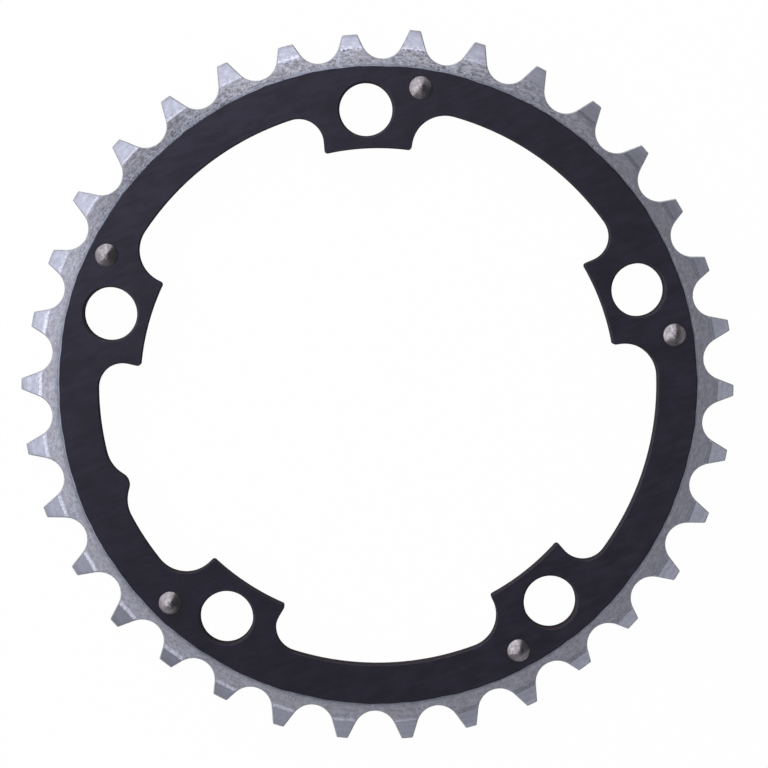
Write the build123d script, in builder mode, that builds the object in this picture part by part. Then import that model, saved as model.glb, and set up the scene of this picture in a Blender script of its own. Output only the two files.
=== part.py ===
"""A chainring for a bicycle crank: a toothed aluminium ring with five bolt tabs and steel shift pins.

Millimetres. The ring lies on its back face, which is the plane Z = 0, with the pins upwards.
The origin is the centre of the bolt circle. A bolt hole and a tooth share the +X axis.
"""
import os
from math import atan2, ceil, cos, degrees, hypot, pi, radians, sin, tan

from build123d import *

# Chain and teeth
chain_pitch = 12.7
tooth_count = 34
roller_diameter = 7.75
root_clearance = 0.03
seat_relief = 0.375
flank_angle = 26.0
tip_height = 2.04
short_tooth_drop = 1.03
short_pair_lead = 0.3

# Turned section, from the web outwards
web_thickness = 3.5
tooth_thickness = 2.1
tooth_shift = 0.25
rim_land = 1.6
web_edge_slope = 0.2
rim_fall = 0.1
step_inset = 2.0
step_width = 0.65
step_fall = 0.29
bevel_fall = 0.4
back_bevel_width = 2.4
back_bevel_fall = 0.3

# Bolt tabs and windows
bolt_count = 5
bolt_hole_diameter = 10.5
bolt_inset = 8.316
web_width = 7.7
tab_wall = 2.38
tab_half_width = 8.55
tab_trailing_flare = 12.5
tab_leading_flare = 2.5
tab_trailing_fillet = 6.65
tab_leading_fillet = 4.95
tab_corner = 0.6
hole_edge_break = 0.35
hole_edge_angle = 90.0

# Alignment nub
nub_height = 2.45
nub_nose = 2.5
nub_slope = 35.0
nub_fillet = 6.9

# Shift pins
pin_inset = 3.58
pin_head_diameter = 4.6
pin_head_height = 1.6
pin_nose_diameter = 0.7
pin_shank_diameter = 3.0
pin_clearance = 0.01

# Circles of the ring, from the chain inwards
tooth_angle = 360 / tooth_count
pitch_radius = chain_pitch / (2 * sin(pi / tooth_count))
root_radius = pitch_radius - roller_diameter / 2 - root_clearance
seat_radius = roller_diameter / 2 + seat_relief
tip_radius = pitch_radius + tip_height
short_tip_radius = tip_radius - short_tooth_drop
web_radius = root_radius - rim_land
window_radius = web_radius - web_width
bolt_radius = web_radius - bolt_inset
tab_radius = bolt_radius - bolt_hole_diameter / 2 - tab_wall
pin_radius = web_radius - pin_inset

# Angles of the tabs, the nub and the pins
tab_step = 360 / bolt_count
nub_angle = tab_step * (bolt_count // 2 + 0.5)
pin_angles = [number * tab_step - tooth_angle for number in range(bolt_count)]

# Each pin is followed by two short teeth. The first is past the pin by more than the lead, in teeth.
short_pair_starts = [ceil(angle / tooth_angle + short_pair_lead) for angle in pin_angles]

# Heights of the rim's two faces, with the teeth shifted from the middle of the web
rim_back = (web_thickness - tooth_thickness) / 2 + tooth_shift
rim_front = rim_back + tooth_thickness

# Distance by which cutting profiles reach past what they cut, and the tolerance of the selectors
overcut = 1.0
tolerance = 0.001


def polar(radius, angle):
    """Point of the plan at a radius and an angle in degrees."""
    return (radius * cos(radians(angle)), radius * sin(radians(angle)))


def at_radius(radius):
    """Selector for the edges whose middle is at a radius from the ring's axis."""
    return lambda edge: abs(hypot(edge.center().X, edge.center().Y) - radius) < tolerance


def angle_from_tab(edge):
    """Angle in degrees from the middle of the nearest tab to an edge, positive counterclockwise."""
    angle = degrees(atan2(edge.center().Y, edge.center().X))
    return (angle + tab_step / 2) % tab_step - tab_step / 2


# Chainring
with BuildPart() as chainring:
    # Turned blank: the web, its sloping front edge, the rim, the step and the bevels of the teeth
    step_radius = pitch_radius - step_inset
    step_foot = rim_front - rim_fall - step_fall
    bevel_end = step_foot - bevel_fall
    with BuildSketch(Plane.XZ):
        with BuildLine():
            Polyline(
                (0, 0),
                (web_radius, 0),
                (web_radius, rim_back),
                (tip_radius - back_bevel_width, rim_back),
                (tip_radius, rim_back + back_bevel_fall),
                (tip_radius, bevel_end),
                (step_radius + step_width, step_foot),
                (step_radius, rim_front - rim_fall),
                (web_radius + web_edge_slope, rim_front),
                (web_radius, web_thickness),
                (0, web_thickness),
                close=True,
            )
        make_face()
    revolve(axis=Axis.Z)

    # Gap between two teeth along +X: a roller seat with a straight tangent flank on each side
    seat_centre = root_radius + seat_radius
    flank_start_x = seat_centre - seat_radius * sin(radians(flank_angle))
    flank_start_y = seat_radius * cos(radians(flank_angle))
    flank_end_x = tip_radius + overcut
    flank_end_y = flank_start_y + (flank_end_x - flank_start_x) * tan(radians(flank_angle))
    with BuildSketch(mode=Mode.PRIVATE) as tooth_gap:
        with BuildLine():
            Line((flank_end_x, -flank_end_y), (flank_start_x, -flank_start_y))
            ThreePointArc(
                (flank_start_x, -flank_start_y), (root_radius, 0), (flank_start_x, flank_start_y)
            )
            Line((flank_start_x, flank_start_y), (flank_end_x, flank_end_y))
            Line((flank_end_x, flank_end_y), (flank_end_x, -flank_end_y))
        make_face()

    # Sector that shortens two neighbouring teeth, one on each side of +X
    sector_radius = (tip_radius + overcut) / cos(radians(tooth_angle))
    with BuildSketch(mode=Mode.PRIVATE) as short_pair:
        with BuildLine():
            sector_arc = ThreePointArc(
                polar(short_tip_radius, -tooth_angle),
                (short_tip_radius, 0),
                polar(short_tip_radius, tooth_angle),
            )
            Polyline(
                sector_arc @ 1,
                polar(sector_radius, tooth_angle),
                polar(sector_radius, -tooth_angle),
                sector_arc @ 0,
            )
        make_face()

    # Teeth: every gap, and a sector over each pair of short teeth
    with BuildSketch():
        with PolarLocations(0, tooth_count, start_angle=tooth_angle / 2):
            add(tooth_gap.sketch)
        for start in short_pair_starts:
            with PolarLocations(0, 1, start_angle=(start + 0.5) * tooth_angle):
                add(short_pair.sketch)
    extrude(amount=web_thickness, mode=Mode.SUBTRACT)

    # Tab along +X, with an inner edge on the tab circle and sides that flare outwards
    tab_corner_x = (tab_radius**2 - tab_half_width**2) ** 0.5
    tab_length = pitch_radius - tab_corner_x
    trailing_y = tab_half_width + tab_length * tan(radians(tab_trailing_flare))
    leading_y = tab_half_width + tab_length * tan(radians(tab_leading_flare))
    with BuildSketch(mode=Mode.PRIVATE) as tab:
        with BuildLine():
            tab_edge = ThreePointArc(
                (tab_corner_x, -tab_half_width), (tab_radius, 0), (tab_corner_x, tab_half_width)
            )
            Polyline(
                tab_edge @ 1, (pitch_radius, leading_y), (pitch_radius, -trailing_y), tab_edge @ 0
            )
        make_face()

    # Nub along +X: a wedge that points inwards, whose rounded nose stands at the nub's height
    nub_apex = window_radius - nub_height - nub_nose * (1 / cos(radians(nub_slope)) - 1)
    nub_half_base = (pitch_radius - nub_apex) / tan(radians(nub_slope))
    with BuildSketch(mode=Mode.PRIVATE) as nub:
        with BuildLine():
            Polyline(
                (nub_apex, 0), (pitch_radius, nub_half_base), (pitch_radius, -nub_half_base), close=True
            )
        make_face()

    # Central opening: the window circle less the tabs and the nub
    with BuildSketch():
        Circle(window_radius)
        with PolarLocations(0, bolt_count):
            add(tab.sketch, mode=Mode.SUBTRACT)
        with PolarLocations(0, 1, start_angle=nub_angle):
            add(nub.sketch, mode=Mode.SUBTRACT)
    extrude(amount=web_thickness, mode=Mode.SUBTRACT)

    # Rounded corners of the opening: the nub's nose, the feet of the nub and the tabs, the tabs' tips
    uprights = chainring.edges().filter_by(Axis.Z)
    feet = uprights.filter_by(at_radius(window_radius))
    nub_feet = feet.filter_by(lambda edge: abs(angle_from_tab(edge)) > tab_step / 4)
    leading_feet = feet.filter_by(lambda edge: 0 < angle_from_tab(edge) < tab_step / 4)
    trailing_feet = feet.filter_by(lambda edge: -tab_step / 4 < angle_from_tab(edge) < 0)
    fillet(uprights.filter_by(at_radius(nub_apex)), nub_nose)
    fillet(nub_feet, nub_fillet)
    fillet(leading_feet, tab_leading_fillet)
    fillet(trailing_feet, tab_trailing_fillet)
    fillet(uprights.filter_by(at_radius(tab_radius)), tab_corner)

    # Bolt holes with a broken front edge, and plain holes for the shift pins
    with Locations((0, 0, web_thickness)):
        with PolarLocations(bolt_radius, bolt_count):
            CounterSinkHole(
                bolt_hole_diameter / 2,
                bolt_hole_diameter / 2 + hole_edge_break,
                counter_sink_angle=hole_edge_angle,
            )
        with PolarLocations(pin_radius, bolt_count, start_angle=pin_angles[0]):
            Hole(pin_shank_diameter / 2 + pin_clearance)

os.makedirs("parts", exist_ok=True)
chainring.part.label = "chainring"
export_step(chainring.part, "parts/chainring.step")

# Shift pins: a conical head seated on the web and a shank pressed through it, flush at the back
shank_radius = pin_shank_diameter / 2
head_radius = pin_head_diameter / 2
nose_radius = pin_nose_diameter / 2
head_top = web_thickness + pin_head_height

for number, angle in enumerate(pin_angles, start=1):
    pin_centre = polar(pin_radius, angle)
    with BuildPart() as shift_pin:
        with BuildSketch(Plane(origin=pin_centre, x_dir=(1, 0, 0), z_dir=(0, -1, 0))):
            with BuildLine():
                Polyline(
                    (0, 0),
                    (shank_radius, 0),
                    (shank_radius, web_thickness),
                    (head_radius, web_thickness),
                    (nose_radius, head_top),
                    (0, head_top),
                    close=True,
                )
            make_face()
        revolve(axis=Axis(pin_centre, (0, 0, 1)))
    shift_pin.part.label = f"shift_pin_{number}"
    export_step(shift_pin.part, f"parts/{shift_pin.part.label}.step")
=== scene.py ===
"""Looks of a bicycle chainring: a finely meshed ring and shift pins, their finishes, light and camera.

The ring's sizes are in millimetres, as on a drawing, and its meshes and lamps are in metres.
Angles are in degrees, counterclockwise in the plan from +X, which runs through a bolt hole and a tooth.
"""
from math import ceil, cos, degrees, pi, radians, sin, sqrt

import bmesh
import bpy
import numpy as np
from mathutils import Matrix, Vector


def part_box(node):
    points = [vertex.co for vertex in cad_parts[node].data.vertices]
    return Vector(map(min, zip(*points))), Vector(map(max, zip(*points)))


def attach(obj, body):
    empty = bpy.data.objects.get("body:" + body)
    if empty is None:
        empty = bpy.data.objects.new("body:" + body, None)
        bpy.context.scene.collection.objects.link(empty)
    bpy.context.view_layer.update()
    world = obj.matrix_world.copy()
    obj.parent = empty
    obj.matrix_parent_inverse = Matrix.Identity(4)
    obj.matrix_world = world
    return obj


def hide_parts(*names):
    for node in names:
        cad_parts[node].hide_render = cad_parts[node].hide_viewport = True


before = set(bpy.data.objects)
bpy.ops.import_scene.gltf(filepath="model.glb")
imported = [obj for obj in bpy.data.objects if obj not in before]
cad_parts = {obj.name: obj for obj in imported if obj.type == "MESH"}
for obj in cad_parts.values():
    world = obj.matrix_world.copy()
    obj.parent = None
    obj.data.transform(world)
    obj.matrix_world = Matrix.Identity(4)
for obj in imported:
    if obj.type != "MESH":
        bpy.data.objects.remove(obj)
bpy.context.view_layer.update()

MM = 0.001

# Chain and teeth
chain_pitch = 12.7
tooth_count = 34
roller_diameter = 7.75
root_clearance = 0.03
seat_relief = 0.375
flank_angle = 26.0
tip_height = 2.04
short_tooth_drop = 1.03
short_pair_lead = 0.3
tip_corner = 0.26

# Turned section, from the web outwards
web_thickness = 3.5
tooth_thickness = 2.1
tooth_shift = 0.25
rim_land = 1.6
web_edge_slope = 0.2
rim_fall = 0.1
step_inset = 2.07
step_width = 0.79
step_fall = 0.29
bevel_fall = 0.4
back_bevel_width = 2.4
back_bevel_fall = 0.3

# Bolt tabs, windows and the alignment nub
bolt_count = 5
bolt_hole_diameter = 10.5
bolt_inset = 8.316
web_width = 7.7
tab_wall = 2.38
tab_half_width = 8.55
tab_trailing_flare = 12.5
tab_leading_flare = 2.5
tab_trailing_fillet = 6.65
tab_leading_fillet = 4.95
tab_corner = 0.6
nub_height = 2.45
nub_nose = 2.5
nub_slope = 35.0
nub_fillet = 6.9

# Shift pins. A head falls outwards from its nose, with the dome as the power of its fall.
# The rim is the share of the way outwards where the outermost row of the head lies.
pin_names = [f"shift_pin_{number}" for number in range(1, bolt_count + 1)]
pin_head_diameter = 4.6
pin_nose_diameter = 0.7
pin_shank_diameter = 3.0
pin_clearance = 0.01
pin_dome = 1.15
pin_rim = 0.97
nose_drop = 0.07
nose_tilt = 24.0

# Broken edges, and the width over which a crease turns from one face to the next
window_break = 0.12
hole_break = 0.35
back_break = 0.15
tooth_break = 0.16
tip_break = 0.22
crease = 0.05
fine_crease = 0.03
step_crease = 0.08

# Depth of the visible surface under the size on the drawing
skin = 0.001

# Unevenness of hand-set turning: the black finish's edge and the step run slightly out of true.
# A wave has its count round the ring and its height, and a dip has its angle, width and depth.
wave_seed = 11
web_waves = [(5, 0.05), (17, 0.04), (43, 0.035), (89, 0.03)]
web_dips = [(162.0, 13.0, 0.22), (306.0, 21.0, 0.25)]
scuff_waves = [(293, 0.03), (457, 0.03), (601, 0.025)]
scuff_angle = 114.0
scuff_width = 14.0
step_waves = [(1, 0.14), (9, 0.04), (61, 0.03), (137, 0.03)]
chatter_waves = [(431, 0.19), (577, 0.14), (733, 0.08)]
chatter_angle = 70.0
chatter_width = 14.0

# Fineness of the meshes
outline_spacing = 0.32
arc_step = 6.0
bevel_row_spacing = 1.0
back_row_inset = 0.5
pin_sides = 56
pin_rows = 11

# Circles of the ring, from the chain inwards
tooth_angle = 360 / tooth_count
tab_step = 360 / bolt_count
pitch_radius = chain_pitch / (2 * sin(pi / tooth_count))
root_radius = pitch_radius - roller_diameter / 2 - root_clearance
seat_radius = roller_diameter / 2 + seat_relief
tip_radius = pitch_radius + tip_height - skin
short_tip_radius = tip_radius - short_tooth_drop
web_radius = root_radius - rim_land
window_radius = web_radius - web_width
bolt_radius = web_radius - bolt_inset
tab_radius = bolt_radius - bolt_hole_diameter / 2 - tab_wall
step_radius = pitch_radius - step_inset

# Heights of the rim's two faces, with the teeth shifted from the middle of the web
rim_back = (web_thickness - tooth_thickness) / 2 + tooth_shift
rim_front = rim_back + tooth_thickness

# Finishes of the ring's faces
WEB, WEB_EDGE, WEB_WALL, RIM, STEP, BEVEL, WALL, BACK = range(8)


# Outlines: a run of points in the plan with unit normals that point out of the metal


def direction(angle):
    """Unit vector of the plan at an angle in degrees."""
    return np.array([cos(radians(angle)), sin(radians(angle))])


def turned(vectors, angle):
    """Vectors of the plan turned counterclockwise by an angle in degrees."""
    along = direction(angle)
    across = np.array([-along[1], along[0]])
    return np.outer(vectors[:, 0], along) + np.outer(vectors[:, 1], across)


def arc(centre, radius, start, end, metal_inside):
    """Points of an arc from its start up to, but not at, its end, with its metal inside or outside."""
    length = abs(radians(end - start)) * radius
    count = max(2, ceil(abs(end - start) / arc_step), ceil(length / outline_spacing))
    spokes = np.array([direction(a) for a in np.linspace(start, end, count, endpoint=False)])
    return np.asarray(centre) + radius * spokes, spokes if metal_inside else -spokes


def line(start, end, normal):
    """Points of a straight run from its start up to, but not at, its end."""
    start, end = np.asarray(start), np.asarray(end)
    count = max(1, ceil(np.linalg.norm(end - start) / outline_spacing))
    steps = np.linspace(0, 1, count, endpoint=False)[:, None]
    return start + (end - start) * steps, np.tile(normal, (count, 1))


def joined(runs):
    """One outline from runs that follow each other."""
    return np.vstack([points for points, _ in runs]), np.vstack([normals for _, normals in runs])


def angle_of(vector):
    """Angle of a vector of the plan in degrees."""
    return degrees(np.arctan2(vector[1], vector[0]))


def turn_to(start, end):
    """End angle, counted on counterclockwise from the start angle."""
    return start + (end - start) % 360


def rounding_centre(foot, along, reach):
    """Point on a line, at a distance from the origin, on the line's forward side."""
    middle = foot @ along
    return foot + (sqrt(middle**2 - foot @ foot + reach**2) - middle) * along


def flank_runs(tip):
    """Tip corner, flank and half seat of one side of a tooth gap along +X, from the tooth below it."""
    normal = direction(90 - flank_angle)
    along = direction(-flank_angle)
    seat_centre = np.array([root_radius + seat_radius, 0.0])
    centre = rounding_centre(seat_centre - (seat_radius + tip_corner) * normal, along, tip - tip_corner)
    tip_end = angle_of(centre)
    return joined([
        arc((0, 0), tip, -tooth_angle / 2, tip_end, True),
        arc(centre, tip_corner, tip_end, angle_of(normal), True),
        line(centre + tip_corner * normal, seat_centre - seat_radius * normal, normal),
        arc(seat_centre, seat_radius, angle_of(-normal) % 360, 180, False),
    ])


def mirrored(points, normals):
    """The other side of a tooth gap, which starts at the seat and ends short of the tooth's middle."""
    flip = np.array([1, -1])
    return points[::-1] * flip, normals[::-1] * flip


def teeth_outline():
    """Outline of the teeth, counterclockwise from the middle of the first tooth."""
    pin_angles = [number * tab_step - tooth_angle for number in range(bolt_count)]
    starts = [ceil(angle / tooth_angle + short_pair_lead) for angle in pin_angles]
    short = {start + k for start in starts for k in (0, 1)}
    tips = [short_tip_radius if k in short else tip_radius for k in range(tooth_count)]
    seat_bottom = (np.array([[root_radius, 0.0]]), np.array([[1.0, 0.0]]))
    runs = []
    for k in range(tooth_count):
        points, normals = joined([
            flank_runs(tips[k]),
            seat_bottom,
            tuple(side[:-1] for side in mirrored(*flank_runs(tips[(k + 1) % tooth_count]))),
        ])
        gap_angle = (k + 0.5) * tooth_angle
        runs.append((turned(points, gap_angle), turned(normals, gap_angle)))
    return joined(runs)


def foot_runs(centre, fillet, normal):
    """Fillet from a side with a normal to the window circle, and the point where it ends there."""
    side_angle = angle_of(-normal) % 360
    outward = centre / np.linalg.norm(centre)
    return [
        arc(centre, fillet, side_angle, turn_to(side_angle, angle_of(centre)), False),
        (np.array([window_radius * outward]), np.array([-outward])),
    ]


def tab_side(flare, fillet):
    """Half of a bolt tab's edge on +X and above it: tip, corner, side and foot."""
    corner = np.array([sqrt(tab_radius**2 - tab_half_width**2), tab_half_width])
    along = direction(flare)
    normal = direction(flare + 90)
    corner_centre = rounding_centre(corner - tab_corner * normal, along, tab_radius + tab_corner)
    foot_centre = rounding_centre(corner + fillet * normal, along, window_radius - fillet)
    corner_angle = angle_of(corner_centre)
    return joined([
        arc((0, 0), tab_radius, 0, corner_angle, False),
        arc(corner_centre, tab_corner, corner_angle + 180, flare + 90, True),
        line(corner_centre + tab_corner * normal, foot_centre - fillet * normal, normal),
        *foot_runs(foot_centre, fillet, normal),
    ])


def nub_side():
    """Half of the nub's edge, as if it were on +X and above it: nose, side and foot."""
    apex = np.array([window_radius - nub_height - nub_nose * (1 / cos(radians(nub_slope)) - 1), 0.0])
    along = direction(90 - nub_slope)
    normal = direction(180 - nub_slope)
    nose_centre = np.array([window_radius - nub_height + nub_nose, 0.0])
    foot_centre = rounding_centre(apex + nub_fillet * normal, along, window_radius - nub_fillet)
    return joined([
        arc(nose_centre, nub_nose, 180, 180 - nub_slope, True),
        line(nose_centre + nub_nose * normal, foot_centre - nub_fillet * normal, normal),
        *foot_runs(foot_centre, nub_fillet, normal),
    ])


def bump_outline(leading, trailing, angle):
    """Edge of a tab or of the nub at an angle, counterclockwise, from its two halves."""
    lower_points, lower_normals = mirrored(*trailing)
    points, normals = joined([(lower_points[:-1], lower_normals[:-1]), leading])
    return turned(points, angle), turned(normals, angle)


def opening_outline():
    """Outline of the central opening, counterclockwise: the tabs and the nub, joined by window arcs."""
    leading = tab_side(tab_leading_flare, tab_leading_fillet)
    trailing = tab_side(tab_trailing_flare, tab_trailing_fillet)
    nub_angle = tab_step * (bolt_count // 2 + 0.5)
    bumps = {k * tab_step: bump_outline(leading, trailing, k * tab_step) for k in range(bolt_count)}
    bumps[nub_angle] = bump_outline(nub_side(), nub_side(), nub_angle)
    in_order = [bumps[angle] for angle in sorted(bumps)]
    runs = []
    for bump, following in zip(in_order, in_order[1:] + in_order[:1]):
        start = angle_of(bump[0][-1])
        end = turn_to(start, angle_of(following[0][0]))
        window = arc((0, 0), window_radius, start, end, False)
        runs += [bump, (window[0][1:], window[1][1:])]
    return joined(runs)


def circle_outline(centre, radius):
    """Outline of a round hole."""
    return arc(centre, radius, 0, 360, False)


# Meshes


class Sheet:
    """Vertices with their own normals, and faces in several finishes."""

    def __init__(self):
        self.points = []
        self.normals = []
        self.faces = []
        self.finishes = []

    def vertex(self, point, normal):
        """New vertex, by its number."""
        self.points.append(tuple(point))
        self.normals.append(tuple(normal))
        return len(self.points) - 1

    def loop(self, outline, inset, height, tilt):
        """Closed ring of vertices inside an outline, with normals tilted from up to out of the metal."""
        points, normals = outline
        insets = np.broadcast_to(inset, len(points))
        heights = np.broadcast_to(height, len(points))
        up = cos(radians(tilt))
        out = sin(radians(tilt))
        return [
            self.vertex((*(p - d * n), z), (*(out * n), up))
            for p, n, d, z in zip(points, normals, insets, heights)
        ]

    def face(self, corners, finish):
        """New face from the numbers of its vertices."""
        self.faces.append(tuple(corners))
        self.finishes.append(finish)

    def strip(self, lower, upper, finish):
        """Quads between two closed rings of the same length."""
        for k in range(len(lower)):
            following = (k + 1) % len(lower)
            self.face((lower[k], lower[following], upper[following], upper[k]), finish)

    def fill(self, rings, finish):
        """Flat face inside the first closed ring and outside the others."""
        flat = bmesh.new()
        edges = []
        for ring in rings:
            made = [flat.verts.new(self.points[k]) for k in ring]
            edges += [flat.edges.new((a, b)) for a, b in zip(made, made[1:] + made[:1])]
        numbers = [k for ring in rings for k in ring]
        bmesh.ops.triangle_fill(flat, use_beauty=True, edges=edges, normal=(0, 0, 1))
        flat.verts.index_update()
        for face in flat.faces:
            self.face([numbers[v.index] for v in face.verts], finish)
        flat.free()

    def build(self, name, finishes):
        """Mesh object in metres, smooth by its own normals, with outward faces."""
        mesh = bpy.data.meshes.new(name)
        mesh.from_pydata([Vector(p) * MM for p in self.points], [], self.faces)
        mesh.polygons.foreach_set("material_index", self.finishes)
        for finish in finishes:
            mesh.materials.append(finish)
        solid = bmesh.new()
        solid.from_mesh(mesh)
        bmesh.ops.recalc_face_normals(solid, faces=solid.faces)
        solid.to_mesh(mesh)
        solid.free()
        mesh.shade_smooth()
        mesh.normals_split_custom_set_from_vertices(self.normals)
        piece = bpy.data.objects.new(name, mesh)
        bpy.context.scene.collection.objects.link(piece)
        return piece


def broken_edge(size, soft):
    """Rings over a chamfered edge, as inset, drop and tilt, from the flat face to the wall."""
    return [
        (size + soft, 0.0, 0),
        (size - soft / 2, soft / 2, 45),
        (soft / 2, size - soft / 2, 45),
        (0.0, size + soft, 90),
    ]


def waves(angles, table):
    """Smooth unevenness round the ring, from wave counts and heights, with set phases."""
    phases = np.random.default_rng(wave_seed).uniform(0, 2 * pi, len(table))
    return sum(height * np.sin(count * angles + phase) for (count, height), phase in zip(table, phases))


def near(angles, angle, width):
    """Share from 0 to 1 by how near points of the ring are to an angle in degrees."""
    apart = (np.degrees(angles) - angle + 180) % 360 - 180
    return np.exp(-((apart / width) ** 2))


def step_shifts(angles):
    """How far the step lies outwards of its true circle, with a stretch of chatter."""
    chatter = near(angles, chatter_angle, chatter_width) * waves(angles, chatter_waves)
    return waves(angles, step_waves) + chatter


def web_shifts(angles):
    """How far the black finish's edge lies outwards of its true circle, with a scuffed stretch and dips."""
    scuffs = near(angles, scuff_angle, scuff_width) * waves(angles, scuff_waves)
    shifts = waves(angles, web_waves) + scuffs
    for angle, width, depth in web_dips:
        shifts -= depth * near(angles, angle, width)
    return shifts


def front_height(radius, shift=0.0):
    """Height of the rim's front face over a radius, where the step is shifted outwards."""
    step_foot = rim_front - rim_fall - step_fall
    step_start = step_radius + shift
    return np.interp(
        radius,
        [web_radius, web_radius + web_edge_slope, step_start, step_start + step_width, tip_radius],
        [web_thickness, rim_front, rim_front - rim_fall, step_foot, step_foot - bevel_fall],
    )


def back_height(radius, shift=0.0):
    """Height of the rim's back face over a radius. It has no step that a shift would move."""
    bevel_start = tip_radius - back_bevel_width
    return np.interp(radius, [bevel_start, tip_radius], [rim_back, rim_back + back_bevel_fall])


def slope_tilt(height, radius, shift=0.0):
    """Tilt in degrees of a turned face at a radius, from its fall over a short way."""
    span = crease / 4
    fall = height(radius - span, shift) - height(radius + span, shift)
    return degrees(np.arctan(fall / (2 * span)))


def rim_face(sheet, rows, height, shifts, side, inner, outer):
    """Turned face of the rim between an inner ring and the outline's ring, along the outline's own spokes.

    A row has a radius, the share of the shift that it follows, and the finish of the band outside it.
    """
    reach = np.linalg.norm(np.array(sheet.points)[outer][:, :2], axis=1)
    spokes = []
    for first, edge, limit, shift in zip(inner, outer, reach, shifts):
        across = np.array(sheet.points[edge][:2]) / limit
        spoke = [(first, rows[0][2])]
        for true_radius, share, finish in rows[1:]:
            radius = true_radius + share * shift
            if radius < limit - crease:
                tilt = radians(slope_tilt(height, radius, shift))
                point = (*(radius * across), height(radius, shift))
                spoke.append((sheet.vertex(point, (*(sin(tilt) * across), side * cos(tilt))), finish))
        spokes.append(spoke)
    for k, spoke in enumerate(spokes):
        other_k = (k + 1) % len(spokes)
        other = spokes[other_k]
        last = min(len(spoke), len(other)) - 1
        for row in range(last):
            corners = (spoke[row][0], other[row][0], other[row + 1][0], spoke[row + 1][0])
            sheet.face(corners, spoke[row][1])
        if len(spoke) == len(other):
            sheet.face((spoke[last][0], other[last][0], outer[other_k], outer[k]), spoke[last][1])
            continue

        # The longer spoke's further rows fan out from the end of the shorter one
        longer, end, apex = (spoke, k, other_k) if len(spoke) > len(other) else (other, other_k, k)
        sheet.face((outer[apex], spoke[last][0], other[last][0]), spoke[last][1])
        tail = [vertex for vertex, _ in longer[last:]] + [outer[end]]
        for first, second, (_, finish) in zip(tail, tail[1:], longer[last:]):
            sheet.face((outer[apex], first, second), finish)


def tooth_breaks(points, normals):
    """Break of the teeth's edge, wider at the tips, which lie past the pitch circle and face outwards."""
    radii = np.linalg.norm(points, axis=1)
    outwards = np.sum(points * normals, axis=1) / radii
    at_tip = np.clip(2 * outwards - 1, 0, 1) * (radii > pitch_radius)
    return tooth_break + (tip_break - tooth_break) * at_tip


def tooth_edge(sheet, teeth, breaks, front, back):
    """Edge of the teeth from the front height over the wall to the back height, by its end rings."""
    rings = broken_edge(breaks, fine_crease)
    front_rings = [sheet.loop(teeth, inset, front - drop, tilt) for inset, drop, tilt in rings]
    back_rings = [sheet.loop(teeth, inset, back + drop, 180 - tilt) for inset, drop, tilt in rings]
    edge = front_rings + back_rings[::-1]
    for lower, upper in zip(edge, edge[1:]):
        sheet.strip(lower, upper, WALL)
    return front_rings[0], back_rings[0]


def circle(sheet, spokes, radius, height, tilt):
    """Ring of vertices on spokes about the ring's axis, with one radius or one for each spoke."""
    return sheet.loop((spokes * np.reshape(radius, (-1, 1)), spokes), 0.0, height, tilt)


def rim_front_face(sheet, spokes, web_shift, step_shift, outer):
    """Front of the rim: the web's sloping edge, then turned rows out to the teeth. Gives the web's ring."""
    slope = degrees(np.arctan((web_thickness - rim_front) / web_edge_slope))
    slope_start = web_radius + crease / 2
    slope_end = web_radius + web_edge_slope - crease / 2
    rim_start = web_radius + web_edge_slope + crease
    rim_tilt = slope_tilt(front_height, rim_start)
    rings = [
        circle(sheet, spokes, web_radius - crease + web_shift, web_thickness, 0),
        circle(sheet, spokes, slope_start + web_shift, front_height(slope_start), slope),
        circle(sheet, spokes, slope_end + web_shift, front_height(slope_end), slope),
        circle(sheet, spokes, rim_start + web_shift, front_height(rim_start), rim_tilt),
    ]
    for lower, upper in zip(rings, rings[1:]):
        sheet.strip(lower, upper, RIM)
    step_end = step_radius + step_width
    rows = [
        (rim_start, 0, RIM),
        ((rim_start + step_radius) / 2, 0, RIM),
        (step_radius - step_crease, 1, RIM),
        (step_radius + step_crease, 1, STEP),
        (step_end - step_crease, 1, STEP),
        (step_end + step_crease, 1, BEVEL),
        (step_end + bevel_row_spacing, 0, BEVEL),
        (step_end + 2 * bevel_row_spacing, 0, BEVEL),
    ]
    rim_face(sheet, rows, front_height, step_shift, 1, rings[-1], outer)
    return rings[0]


def rim_back_face(sheet, spokes, outer):
    """Back of the rim: the web's upright edge, then the teeth's flat and bevel. Gives the web's ring."""
    rim_start = web_radius + crease
    rings = [
        circle(sheet, spokes, web_radius - back_break - crease, 0.0, 180),
        circle(sheet, spokes, web_radius - crease / 2, back_break - crease / 2, 135),
        circle(sheet, spokes, web_radius, back_break + crease, 90),
        circle(sheet, spokes, web_radius, rim_back - crease, 90),
        circle(sheet, spokes, rim_start, rim_back, 180),
    ]
    for lower, upper in zip(rings, rings[1:]):
        sheet.strip(lower, upper, BACK)
    bevel_start = tip_radius - back_bevel_width
    rows = [
        (rim_start, 0, BACK),
        (root_radius - back_row_inset, 0, BACK),
        (bevel_start - crease, 0, BACK),
        (bevel_start + crease, 0, BACK),
    ]
    rim_face(sheet, rows, back_height, np.zeros(len(spokes)), -1, rings[-1], outer)
    return rings[0]


def box_centre(low, high):
    """Middle of a box in the plan, in millimetres."""
    return (Vector(low) + Vector(high)).xy / 2 / MM


def web_openings():
    """Outlines of the openings through the web, each with its front break, back break and crease."""
    openings = [(opening_outline(), window_break, back_break, crease)]
    for number in range(bolt_count):
        bolt_hole = circle_outline(bolt_radius * direction(number * tab_step), bolt_hole_diameter / 2)
        openings.append((bolt_hole, hole_break, back_break, crease))
    for name in pin_names:
        pin_hole = circle_outline(box_centre(*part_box(name)), pin_shank_diameter / 2 + pin_clearance)
        openings.append((pin_hole, fine_crease, fine_crease, fine_crease / 2))
    return openings


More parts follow.
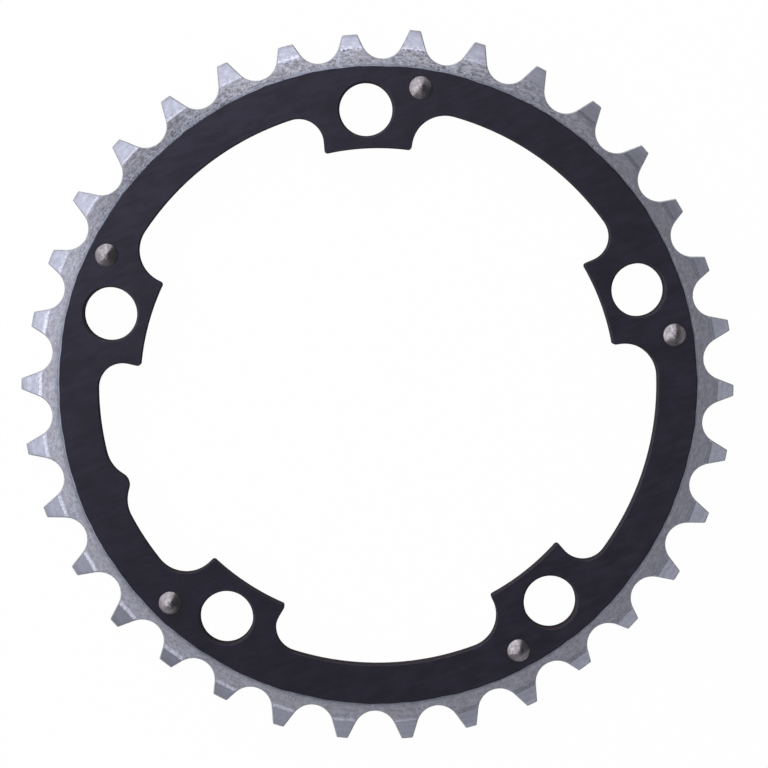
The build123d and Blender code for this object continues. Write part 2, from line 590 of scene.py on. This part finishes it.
def web_faces(sheet, web_top, web_foot):
    """Front and back of the web inside its rings, and the walls of its openings between them."""
    top_rings = [web_top]
    bottom_rings = [web_foot]
    for outline, front_size, back_size, soft in web_openings():
        rings = [
            sheet.loop(outline, inset, web_thickness - drop, tilt)
            for inset, drop, tilt in broken_edge(front_size, soft)
        ]
        rings += [
            sheet.loop(outline, inset, drop, 180 - tilt)
            for inset, drop, tilt in broken_edge(back_size, soft)[::-1]
        ]
        sheet.strip(rings[0], rings[1], WEB_EDGE)
        for lower, upper in zip(rings[1:], rings[2:]):
            sheet.strip(lower, upper, WEB_WALL)
        top_rings.append(rings[0])
        bottom_rings.append(rings[-1])
    sheet.fill(top_rings, WEB)
    sheet.fill(bottom_rings, WEB)


def ring_sheet():
    """The whole ring as one closed sheet."""
    sheet = Sheet()
    teeth = teeth_outline()
    breaks = tooth_breaks(*teeth)

    # Spokes run through the teeth's inner ring, so that the rim's rows and the web's edge share its angles
    inner_points = teeth[0] - (breaks + fine_crease)[:, None] * teeth[1]
    radii = np.linalg.norm(inner_points, axis=1)
    spokes = inner_points / radii[:, None]
    angles = np.arctan2(spokes[:, 1], spokes[:, 0])
    step_shift = step_shifts(angles)

    front = np.array([front_height(radius, shift) for radius, shift in zip(radii, step_shift)])
    front_ring, back_ring = tooth_edge(sheet, teeth, breaks, front, back_height(radii))
    web_top = rim_front_face(sheet, spokes, web_shifts(angles), step_shift, front_ring)
    web_foot = rim_back_face(sheet, spokes, back_ring)
    web_faces(sheet, web_top, web_foot)
    return sheet


def pin_sheet(low, high):
    """A shift pin in its box: a head that is between a cone and a dome, on a plain shank."""
    sheet = Sheet()
    centre = box_centre(low, high)
    top = high.z / MM - skin
    head = pin_head_diameter / 2
    nose = pin_nose_diameter / 2
    shank = pin_shank_diameter / 2
    rise = top - web_thickness
    steepest = pin_dome * rise / (head - nose)
    spokes = np.array([direction(360 * k / pin_sides) for k in range(pin_sides)])

    def ring(radius, height, tilt):
        return sheet.loop((np.array(centre) + radius * spokes, spokes), 0.0, height, tilt)

    rows = [
        ring(shank - fine_crease, 0.0, 180),
        ring(shank, fine_crease, 90),
        ring(shank, web_thickness - fine_crease, 90),
        ring(shank + fine_crease, web_thickness, 180),
        ring(head - 2 * fine_crease, web_thickness, 180),
        ring(head, web_thickness + fine_crease, 90),
    ]
    for share in np.linspace(pin_rim, 0.0, pin_rows, endpoint=False):
        tilt = degrees(np.arctan(steepest * share ** (pin_dome - 1)))
        rows.append(ring(nose + (head - nose) * share, top - rise * share**pin_dome, tilt))
    rows.append(ring(nose, top - nose_drop, nose_tilt))
    rows.append(ring(nose / 2, top - nose_drop / 4, nose_tilt / 2))
    for lower, upper in zip(rows, rows[1:]):
        sheet.strip(lower, upper, 0)
    sheet.face(rows[0], 0)
    apex = sheet.vertex((*centre, top), (0, 0, 1))
    for k in range(pin_sides):
        sheet.face((rows[-1][k], rows[-1][(k + 1) % pin_sides], apex), 0)
    return sheet


# Shader nodes


def shader(name):
    """New material and its tree, with a Principled shader at its end."""
    made = bpy.data.materials.new(name)
    made.use_nodes = True
    return made, made.node_tree, made.node_tree.nodes["Principled BSDF"]


def node(tree, kind, *values, **settings):
    """New node with its settings and, in order, the values or sockets of its inputs.

    None leaves an input as it is.
    """
    made = tree.nodes.new(kind)
    for key, value in settings.items():
        setattr(made, key, value)
    for socket, value in zip(made.inputs, values):
        if isinstance(value, bpy.types.NodeSocket):
            tree.links.new(value, socket)
        elif value is not None:
            socket.default_value = value
    return made


def value_math(tree, operation, *values):
    """Result of an operation on values."""
    return node(tree, "ShaderNodeMath", *values, operation=operation).outputs[0]


def vector_math(tree, operation, *values, result="Vector"):
    """Result of an operation on vectors. The fourth of its inputs is a scale."""
    return node(tree, "ShaderNodeVectorMath", *values, operation=operation).outputs[result]


def weighed(tree, first, weight, second):
    """First value times a weight, plus the second value."""
    return value_math(tree, "MULTIPLY_ADD", first, weight, second)


def ranged(tree, value, low, high, first, last):
    """Value mapped from one range to another, clamped."""
    return node(tree, "ShaderNodeMapRange", value, low, high, first, last).outputs[0]


def share_of(tree, value, low, high):
    """Share from 0 to 1 of a value's way between two levels."""
    return ranged(tree, value, low, high, 0.0, 1.0)


def by_share(tree, share, first, last):
    """Value between two values, by a share from 0 to 1."""
    return ranged(tree, share, 0.0, 1.0, first, last)


def place(tree):
    """Point on the object, in metres."""
    return tree.nodes.new("ShaderNodeTexCoord").outputs["Object"]


def in_plan(tree, point):
    """Point of the plan under a point."""
    return vector_math(tree, "MULTIPLY", point, (1, 1, 0))


def plan_radius(tree, point):
    """Distance from the ring's axis, in metres."""
    return vector_math(tree, "LENGTH", in_plan(tree, point), result="Value")


def plan_direction(tree, point):
    """Unit vector of the plan from the ring's axis to a point."""
    return vector_math(tree, "NORMALIZE", in_plan(tree, point))


def rim_place(tree, point, stretch):
    """Point unrolled along the rim: it turns with the ring, and rises with the radius by the stretch."""
    around = vector_math(tree, "SCALE", plan_direction(tree, point), None, None, root_radius * MM)
    rise = value_math(tree, "MULTIPLY", plan_radius(tree, point), stretch)
    upward = node(tree, "ShaderNodeCombineXYZ", 0.0, 0.0, rise).outputs[0]
    return vector_math(tree, "ADD", around, upward)


def towards(tree, point, angle, low, high):
    """Share from 0 to 1 by how far a point of the ring lies towards an angle of the plan, as a cosine."""
    aim = (*direction(angle), 0.0)
    facing = vector_math(tree, "DOT_PRODUCT", plan_direction(tree, point), aim, result="Value")
    return share_of(tree, facing, low, high)


def noise(tree, vector, scale, detail=3.0, roughness=0.55):
    """Noise between 0 and 1 over a vector, by its features per metre."""
    made = node(tree, "ShaderNodeTexNoise")
    tree.links.new(vector, made.inputs["Vector"])
    made.inputs["Scale"].default_value = scale
    made.inputs["Detail"].default_value = detail
    made.inputs["Roughness"].default_value = roughness
    return made.outputs["Fac"]


def drawn_noise(tree, point, density):
    """Noise between 0 and 1 over a point, by its features per metre along each axis."""
    return noise(tree, vector_math(tree, "MULTIPLY", point, density), 1.0)


def turning_lines(tree, radius):
    """Noise between 0 and 1 over the radius alone, which draws fine lines about the ring's axis."""
    made = node(tree, "ShaderNodeTexNoise", noise_dimensions="1D")
    tree.links.new(radius, made.inputs["W"])
    made.inputs["Scale"].default_value = groove_density
    made.inputs["Detail"].default_value = groove_detail
    return made.outputs["Fac"]


def scaled(values, factor):
    """Colour or span times a factor."""
    return tuple(factor * value for value in values)


def blended(tree, share, first, last):
    """Colour between two colours."""
    made = node(tree, "ShaderNodeMix", data_type="RGBA")
    tree.links.new(share, made.inputs["Factor"])
    for key, colour in (("A", first), ("B", last)):
        socket = next(s for s in made.inputs if s.name == key and s.type == "RGBA")
        if isinstance(colour, bpy.types.NodeSocket):
            tree.links.new(colour, socket)
        else:
            socket.default_value = (*colour, 1.0)
    return next(s for s in made.outputs if s.type == "RGBA")


def dimmed(tree, colour, share, factor):
    """Colour times a factor, by a share from 0 to 1."""
    return vector_math(tree, "SCALE", colour, None, None, by_share(tree, share, 1.0, factor))


def coat(tree, surface, colour, wear, span, roughness):
    """Colour of a shader, and a roughness about a mean that falls as the wear rises over its span."""
    swing = ranged(tree, wear, *span, roughness + roughness_swing, roughness - roughness_swing)
    tree.links.new(colour, surface.inputs["Base Color"])
    tree.links.new(swing, surface.inputs["Roughness"])


def bump(tree, surface, height, strength, depth):
    """Small relief on a shader, with its depth in millimetres."""
    made = node(tree, "ShaderNodeBump")
    made.inputs["Strength"].default_value = strength
    made.inputs["Distance"].default_value = depth * MM
    tree.links.new(height, made.inputs["Height"])
    tree.links.new(made.outputs["Normal"], surface.inputs["Normal"])


# Finishes. Densities are features per metre, and a span is the part of a noise's range that shows.
roughness_swing = 0.05
noise_span = (0.3, 0.7)
fine_depth = 0.02

# Black finish of the web, with grain drawn out along +X over soft clouds
anodised = (0.0078, 0.0070, 0.0120)
anodised_sheen = (0.765, 0.735, 1.0)
anodised_gloss = 0.64
grain_density = (230.0, 1000.0, 1000.0)
cloud_density = 210.0
grain_span = (0.8, 1.2)
grain_gloss_span = (0.75, 1.25)
grain_dark = 0.75
grain_pale = 2.2
grain_bump = 0.12


def black_anodised(name, colour, roughness):
    """Black anodised aluminium with faint straight grain."""
    made, tree, surface = shader(name)
    surface.inputs["Specular IOR Level"].default_value = anodised_gloss
    surface.inputs["Specular Tint"].default_value = (*anodised_sheen, 1.0)
    point = place(tree)
    grain = drawn_noise(tree, point, grain_density)
    clouded = value_math(tree, "ADD", grain, noise(tree, point, cloud_density))
    lit = share_of(tree, clouded, *grain_span)
    shades = blended(tree, lit, scaled(colour, grain_dark), scaled(colour, grain_pale))
    coat(tree, surface, shades, clouded, grain_gloss_span, roughness)
    bump(tree, surface, grain, grain_bump, fine_depth)
    return made


# Bare turned aluminium, with lines about the ring's axis and flecks along them
turning_rotation = 0.25
bright_anisotropy = 0.8
groove_density = 2600.0
groove_detail = 4.0
fleck_detail = 4.0
fleck_roughness = 0.6
wear_span = (0.375, 0.6)
turning_bump = 0.1
# Painted shade: a turned face is painted darker towards given angles of the plan, over a reach of the
# angle's cosine
painted_shade_reach = (0.95, 0.99)
painted_shade_factor = 0.75


def turned_grain(tree, surface, anisotropy):
    """Gloss drawn out across turning lines that run about the ring's axis."""
    surface.inputs["Metallic"].default_value = 1.0
    surface.inputs["Anisotropic"].default_value = anisotropy
    surface.inputs["Anisotropic Rotation"].default_value = turning_rotation
    tangent = node(tree, "ShaderNodeTangent", direction_type="RADIAL", axis="Z").outputs[0]
    tree.links.new(tangent, surface.inputs["Tangent"])


def turned_flecks(tree, point, density, stretch):
    """Noise between 0 and 1 that is drawn out along the turning lines by the stretch."""
    return noise(tree, rim_place(tree, point, stretch), density, fleck_detail, fleck_roughness)


def turned_metal(name, colour, roughness, shade, flecks, stretch, grooving, painted_shade_angles=()):
    """Turned aluminium with flecks of a density and a stretch, and lines of a weight called grooving.

    It is as dark as the shade where it is least worn, and has painted shade towards the given angles of the
    plan.
    """
    made, tree, surface = shader(name)
    turned_grain(tree, surface, bright_anisotropy)
    point = place(tree)
    rub = turned_flecks(tree, point, flecks, stretch)
    mixed = weighed(tree, turning_lines(tree, plan_radius(tree, point)), grooving, rub)
    worn = share_of(tree, mixed, *scaled(wear_span, 1.0 + grooving))
    shades = blended(tree, worn, scaled(colour, shade), colour)
    # Painted shade towards each given angle
    for angle in painted_shade_angles:
        shades = dimmed(tree, shades, towards(tree, point, angle, *painted_shade_reach), painted_shade_factor)
    coat(tree, surface, shades, rub, noise_span, roughness)
    bump(tree, surface, mixed, turning_bump, fine_depth)
    return made


# Rim: a turned band by the web, whose outer edge frays
rim_anisotropy = 0.4
rim_roughness = 0.41
rim_stretch = 2.0
band_width = 0.65
band_grey = (0.415, 0.44, 0.54)
band_shade = 0.72
band_flecks = 450.0
band_stretch = 5.0
band_span = (0.75, 1.2)
fray_density = 800.0
fray_reach = 1.6
fray_start = 0.4
fray_end = 1.2

# Blotches that tumbling leaves on the rest of the rim, with grit over them and stains
tumbled_grey = (0.565, 0.57, 0.69)
stain_grey = (0.53, 0.515, 0.59)
stain_density = 380.0
stain_detail = 2.0
stain_span = (0.42, 0.66)
blotch_density = 950.0
blotch_detail = 4.0
blotch_roughness = 0.68
blotch_span = (0.62, 0.86)
blotch_bump = 0.5
blotch_depth = 0.05
grit_density = 3800.0
grit_weight = 0.5

# Places where the rim is rough, where it is painted paler as painted light, and where it is scuffed. The
# rough place is painted paler too.
# Its pale and its dark parts have a factor each for the base, the rough place and the painted light.
painted_light_angle = 198.0
painted_light_reach = (-0.2, 1.0)
rough_and_painted_light_angle = 80.0
rough_and_painted_light_reach = (0.5, 0.9)
scuff_reach = (0.93, 0.99)
scuff_shade = 0.68
pale_by_place = (0.81, 1.26, 1.36)
dark_by_place = (0.56, 0.5, 0.82)

# Dark pits, darkest near the band and where the rim is rough
pit_density = 1500.0
pit_detail = 2.0
pit_stretch = 2.5
pit_span = (0.58, 0.66)
pit_shade = 0.2
pit_start = 1.2
pit_end = 2.2
pit_near = 0.9
pit_far = 0.25
pit_smooth = 0.3
scuff_pitting = 0.06

# Painted glints: pale flecks painted where the band ends, as highlights
glint_density = 1100.0
glint_span = (0.48, 0.64)
glint_weight = 2.2
glint_pale = 1.5

# Black finish that runs down the web's sloping edge, as far as the fray lets it
cover_fray = 0.2
cover_start = rim_front + 0.15
cover_end = web_thickness + 0.05
cover_pale = 1.5
cover_scuffed = 0.15


def band_colour(tree, point, radius):
    """Colour of the turned band by the web."""
    rub = turned_flecks(tree, point, band_flecks, band_stretch)
    worn = value_math(tree, "ADD", turning_lines(tree, radius), rub)
    return blended(tree, share_of(tree, worn, *band_span), scaled(band_grey, band_shade), band_grey)


def tumbled_colour(tree, point, mottle, rough_and_painted_light, scuffed):
    """Colour of the tumbled rim, from its mottle and the shares of its rough and scuffed places, painted
    paler towards one angle and on the rough place as painted light.
    """
    # Painted light: the rim is painted paler towards one angle of the plan
    painted_light = towards(tree, point, painted_light_angle, *painted_light_reach)

    def by_place(tint, base_factor, rough_and_painted_light_factor, painted_light_factor):
        base_and_rough_tint = blended(tree, rough_and_painted_light, scaled(tint, base_factor), scaled(tint, rough_and_painted_light_factor))
        return blended(tree, painted_light, base_and_rough_tint, scaled(tint, painted_light_factor))

    stained = share_of(tree, noise(tree, point, stain_density, stain_detail), *stain_span)
    clean = by_place(tumbled_grey, *pale_by_place)
    pale = blended(tree, stained, clean, by_place(stain_grey, *pale_by_place))
    dark = by_place(tumbled_grey, *dark_by_place)
    blotched = blended(tree, share_of(tree, mottle, *blotch_span), dark, pale)
    return dimmed(tree, blotched, scuffed, scuff_shade)


def rim_pits(tree, point, reach, rough_and_painted_light, scuffed):
    """Share from 0 to 1 of the dark pits, by the frayed reach from the ring's axis."""
    pattern = noise(tree, rim_place(tree, point, pit_stretch), pit_density, pit_detail)
    specks = share_of(tree, weighed(tree, scuffed, scuff_pitting, pattern), *pit_span)
    band_end = web_radius + band_width
    by_band = ranged(tree, reach, (band_end + pit_start) * MM, (band_end + pit_end) * MM, pit_near, pit_far)
    depth = value_math(tree, "MULTIPLY", by_band, by_share(tree, rough_and_painted_light, pit_smooth, 1.0))
    return value_math(tree, "MULTIPLY", specks, depth)


def rim_metal(name):
    """Bare aluminium of the rim: a turned band by the web that frays into the blotches of tumbling."""
    made, tree, surface = shader(name)
    turned_grain(tree, surface, rim_anisotropy)
    point = place(tree)
    radius = plan_radius(tree, point)
    unrolled = rim_place(tree, point, rim_stretch)
    # The rough place has stronger blotches and deeper pits, and is painted paler as painted light
    rough_and_painted_light = towards(tree, point, rough_and_painted_light_angle, *rough_and_painted_light_reach)
    scuffed = towards(tree, point, scuff_angle, *scuff_reach)

    # Share of the tumbled part, past the band's frayed end
    fray = noise(tree, unrolled, fray_density)
    reach = weighed(tree, fray, fray_reach * MM, radius)
    band_end = web_radius + band_width
    past_band = share_of(tree, reach, (band_end + fray_start) * MM, (band_end + fray_end) * MM)

    blotches = noise(tree, unrolled, blotch_density, blotch_detail, blotch_roughness)
    mottle = weighed(tree, noise(tree, point, grit_density), grit_weight, blotches)
    tumbled = tumbled_colour(tree, point, mottle, rough_and_painted_light, scuffed)
    bare = blended(tree, past_band, band_colour(tree, point, radius), tumbled)

    # Painted glints, as highlights, lie where the band and the tumbled part meet
    meeting = value_math(tree, "MULTIPLY", past_band, value_math(tree, "SUBTRACT", 1.0, past_band))
    glints = ranged(tree, noise(tree, unrolled, glint_density), *glint_span, 0.0, glint_weight)
    glinting = value_math(tree, "MULTIPLY", meeting, glints)
    glinted = blended(tree, glinting, bare, scaled(band_grey, glint_pale))
    pits = rim_pits(tree, point, reach, rough_and_painted_light, scuffed)
    pitted = blended(tree, pits, glinted, scaled(tumbled_grey, pit_shade))

    # The black finish ends on the web's sloping edge, and is nearly gone where the edge is scuffed
    height = node(tree, "ShaderNodeSeparateXYZ", point).outputs["Z"]
    uneven = weighed(tree, fray, cover_fray * MM, height)
    cover = share_of(tree, uneven, cover_start * MM, cover_end * MM)
    covered = value_math(tree, "MULTIPLY", cover, by_share(tree, scuffed, 1.0, cover_scuffed))
    shades = blended(tree, covered, pitted, scaled(anodised, cover_pale))
    coat(tree, surface, shades, blotches, noise_span, rim_roughness)
    bump(tree, surface, value_math(tree, "MULTIPLY", mottle, past_band), blotch_bump, blotch_depth)
    return made


# Walls, with the upright marks of a cutter
mark_density = (2600.0, 2600.0, 300.0)
mark_span = (0.35, 0.65)
mark_shade = 0.7
mark_bump = 0.3


def machined_wall(name, colour, roughness, metallic, gloss):
    """Aluminium as a cutter leaves it on a wall: bare metal, or dulled by a black finish."""
    made, tree, surface = shader(name)
    surface.inputs["Metallic"].default_value = metallic
    surface.inputs["Specular IOR Level"].default_value = gloss
    marks = drawn_noise(tree, place(tree), mark_density)
    shades = blended(tree, share_of(tree, marks, *mark_span), scaled(colour, mark_shade), colour)
    coat(tree, surface, shades, marks, noise_span, roughness)
    bump(tree, surface, marks, mark_bump, fine_depth)
    return made


# Steel of the pins
steel = (0.316, 0.298, 0.314)
steel_shade = (0.230, 0.206, 0.233)
steel_roughness = 0.30
press_density = 1300.0
press_span = (0.36, 0.62)
press_bump = 0.32
press_depth = 0.1


def pin_steel(name):
    """Dull steel, slightly rough from pressing."""
    made, tree, surface = shader(name)
    surface.inputs["Metallic"].default_value = 1.0
    marks = noise(tree, place(tree), press_density)
    shades = blended(tree, share_of(tree, marks, *press_span), steel_shade, steel)
    coat(tree, surface, shades, marks, noise_span, steel_roughness)
    bump(tree, surface, marks, press_bump, press_depth)
    return made


# Pieces
# Painted reflection: the black finish's broken edges are painted twice as pale, for the light they would
# reflect
edge_painted_reflection = 2.0
edge_black_with_painted_reflection = scaled(anodised, edge_painted_reflection)
# Painted reflection: the walls of the web's openings are a matte grey-brown, far paler than the black
# finish, for the light they would reflect
wall_black_with_painted_reflection = (0.058, 0.049, 0.060)
wall_grey = (0.42, 0.43, 0.47)
step_grey = (0.685, 0.695, 0.845)
bevel_grey = (0.665, 0.685, 0.845)
back_grey = (0.50, 0.51, 0.57)
# Angles of the plan towards which the bevel is painted darker, as painted shade
bevel_painted_shade_angles = [6.0, 208.0]
finishes = {
    WEB: black_anodised("black_anodised", anodised, roughness=0.37),
    # Broken edges of the web, in a paler black that is painted reflection
    WEB_EDGE: black_anodised("black_anodised_edge_painted_reflection", edge_black_with_painted_reflection, roughness=0.35),
    # Walls of the web's openings, matte, with their colour as painted reflection
    WEB_WALL: machined_wall("black_anodised_wall_painted_reflection", wall_black_with_painted_reflection, roughness=0.6, metallic=0.0, gloss=0.0),
    RIM: rim_metal("tumbled_rim"),
    STEP: turned_metal(
        "turned_step", step_grey, roughness=0.34, shade=0.55, flecks=2000.0, stretch=1.0, grooving=0.6
    ),
    BEVEL: turned_metal(
        "turned_bevel", bevel_grey, roughness=0.34, shade=0.79, flecks=1000.0, stretch=1.4, grooving=0.55,
        painted_shade_angles=bevel_painted_shade_angles,
    ),
    WALL: machined_wall("tooth_wall", wall_grey, roughness=0.45, metallic=1.0, gloss=0.5),
    BACK: turned_metal(
        "turned_back", back_grey, roughness=0.40, shade=0.75, flecks=900.0, stretch=3.0, grooving=1.0
    ),
}

ring = ring_sheet().build("ring", [finishes[number] for number in sorted(finishes)])
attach(ring, "root")
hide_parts("chainring")

pin_finish = pin_steel("pin_steel")
for number, name in enumerate(pin_names, start=1):
    pin = pin_sheet(*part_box(name)).build(f"pin_{number}", [pin_finish])
    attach(pin, "root")
    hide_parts(name)


# Camera, by the angles that turn the ring as the photograph shows it
camera_distance = 500.0
part_turn = 18.0
lean_right = 0.982
lean_back = 3.576
roll = 2.567
camera_shift = Vector((1.13888, 0.47109))
pixels_per_mm = 5.00529
frame_pixels = 768
sensor_width = 36.0
nearest_seen = 0.01

seen = (
    Matrix.Rotation(radians(roll), 3, "Z")
    @ Matrix.Rotation(radians(lean_back), 3, "X")
    @ Matrix.Rotation(radians(lean_right), 3, "Y")
    @ Matrix.Rotation(radians(part_turn), 3, "Z")
)
to_part = seen.transposed()
camera_data = bpy.data.cameras.new("camera")
camera_data.sensor_fit = "HORIZONTAL"
camera_data.sensor_width = sensor_width
camera_data.lens = sensor_width * pixels_per_mm * camera_distance / frame_pixels
camera_data.clip_start = nearest_seen
camera = bpy.data.objects.new("camera", camera_data)
eye = to_part @ Vector((*camera_shift, camera_distance)) * MM
camera.matrix_world = Matrix.Translation(eye) @ to_part.to_4x4()
bpy.context.scene.collection.objects.link(camera)
bpy.context.scene.camera = camera


# Floor, lamps and world
floor_size = 40.0
floor_height = -0.0001
floor_paint = (0.9, 0.9, 0.9, 1.0)
white = (1.0, 1.0, 1.0, 1.0)
glow_strength = 1.0
glow_share = 0.985


def floor_material():
    """White floor that keeps a soft shadow, and looks white in the camera and in reflections."""
    made, tree, surface = shader("floor")
    tree.nodes.remove(surface)
    paint = node(tree, "ShaderNodeBsdfDiffuse", floor_paint).outputs[0]
    glow = node(tree, "ShaderNodeEmission", white, glow_strength).outputs[0]
    ray = tree.nodes.new("ShaderNodeLightPath").outputs
    seen_or_mirrored = value_math(tree, "MAXIMUM", ray["Is Camera Ray"], ray["Is Glossy Ray"])
    shown = value_math(tree, "MAXIMUM", seen_or_mirrored, ray["Is Transmission Ray"])
    share = value_math(tree, "MULTIPLY", shown, glow_share)
    mixed = node(tree, "ShaderNodeMixShader", share, paint, glow).outputs[0]
    tree.links.new(mixed, tree.nodes["Material Output"].inputs["Surface"])
    return made


bpy.ops.mesh.primitive_plane_add(size=floor_size, location=(0, 0, floor_height))
floor = bpy.context.object
floor.name = "floor"
floor.data.materials.append(floor_material())


def softbox(name, azimuth, elevation, distance, width, height, radiance):
    """Lamp that faces the ring. The azimuth is counted in the photograph, from its right."""
    lamp_data = bpy.data.lights.new(name, "AREA")
    lamp_data.shape = "RECTANGLE"
    lamp_data.size = width
    lamp_data.size_y = height
    lamp_data.energy = radiance * pi * width * height
    lamp = bpy.data.objects.new(name, lamp_data)
    lamp.visible_camera = False
    place_seen = Vector((
        cos(radians(elevation)) * cos(radians(azimuth)),
        cos(radians(elevation)) * sin(radians(azimuth)),
        sin(radians(elevation)),
    ))
    lamp.location = to_part @ place_seen * distance
    lamp.rotation_euler = lamp.location.to_track_quat("Z", "Y").to_euler()
    bpy.context.scene.collection.objects.link(lamp)


def low_softbox(name, azimuth, width, radiance):
    """Lamp that rakes across the ring, to light the slopes that face it."""
    softbox(name, azimuth, elevation=20, distance=0.5, width=width, height=0.25, radiance=radiance)


softbox("key_light", azimuth=137, elevation=62, distance=0.4, width=0.66, height=0.31, radiance=0.92)
low_softbox("upper_light", azimuth=88, width=0.33, radiance=1.35)
softbox("upper_fill", azimuth=82, elevation=45, distance=0.45, width=0.35, height=0.25, radiance=0.2)
low_softbox("left_light", azimuth=135, width=0.67, radiance=1.75)
low_softbox("lower_left_light", azimuth=195, width=0.5, radiance=1.65)
softbox("left_fill", azimuth=210, elevation=40, distance=0.5, width=0.4, height=0.25, radiance=0.2)
softbox("lower_fill", azimuth=248, elevation=30, distance=0.5, width=0.5, height=0.22, radiance=0.75)
softbox("right_fill", azimuth=335, elevation=60, distance=0.6, width=0.5, height=0.4, radiance=0.33)


def studio_world(right_level, left_level):
    """World that lights from dim on the photograph's right to bright on its left."""
    world = bpy.data.worlds.new("studio")
    world.use_nodes = True
    tree = world.node_tree
    lit = tree.nodes["Background"]
    lit.inputs["Color"].default_value = white
    sky = tree.nodes.new("ShaderNodeTexCoord").outputs["Generated"]
    leftward = tuple(to_part @ Vector((-1.0, 0.0, 0.0)))
    aside = vector_math(tree, "DOT_PRODUCT", sky, leftward, result="Value")
    tree.links.new(ranged(tree, aside, -1.0, 1.0, right_level, left_level), lit.inputs["Strength"])
    bpy.context.scene.world = world


studio_world(right_level=0.08, left_level=0.32)
bpy.context.scene.view_settings.view_transform = "Standard"
